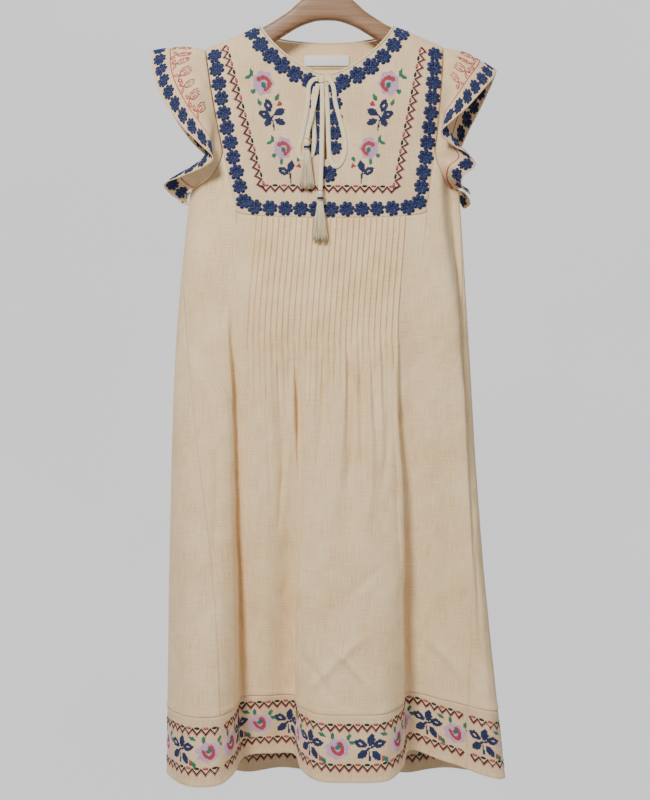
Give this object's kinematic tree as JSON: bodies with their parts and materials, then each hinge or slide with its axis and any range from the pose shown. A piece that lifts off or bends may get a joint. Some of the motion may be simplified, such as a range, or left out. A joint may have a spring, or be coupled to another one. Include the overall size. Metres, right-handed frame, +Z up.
{
  "type": "peasant dress on a hanger",
  "caption": "Sleeveless-cut peasant dress with flutter cap sleeves, bib yoke, pintucked front, deep hem band and a tied neck slit, hanging on a wooden hanger with a steel hook.",
  "frame": {"origin": "top of the hook's inner bend, where a rail carries the hanger", "axes": "+Z up, the dress faces -Y, +X on the viewer's right"},
  "size_m": [0.5191, 0.1644, 1.2348],
  "materials": {
    "cloth": "matte slub weave",
    "trim": "matte",
    "label": "satin",
    "blue_thread": "satin thread",
    "red_thread": "satin thread",
    "lilac_thread": "satin thread",
    "green_thread": "satin thread",
    "black_thread": "satin thread",
    "wood": "clear satin lacquer",
    "steel": "satin"
  },
  "bodies": {
    "root": {"front_yoke": "cloth", "front_panel": "cloth", "back_yoke": "cloth", "back_panel": "cloth", "front_hem_band": "cloth", "back_hem_band": "cloth", "sleeve_left": "cloth", "sleeve_right": "cloth", "neck_binding": "trim", "neck_label": "label", "tie_knot": "trim", "tie_loop_left": "trim", "tie_loop_right": "trim", "tie_tail_left": "trim", "tie_tail_right": "trim", "tassel_left": "trim", "tassel_right": "trim", "hanger_wood": "wood", "hanger_hook": "steel"}
  },
  "joints": []
}
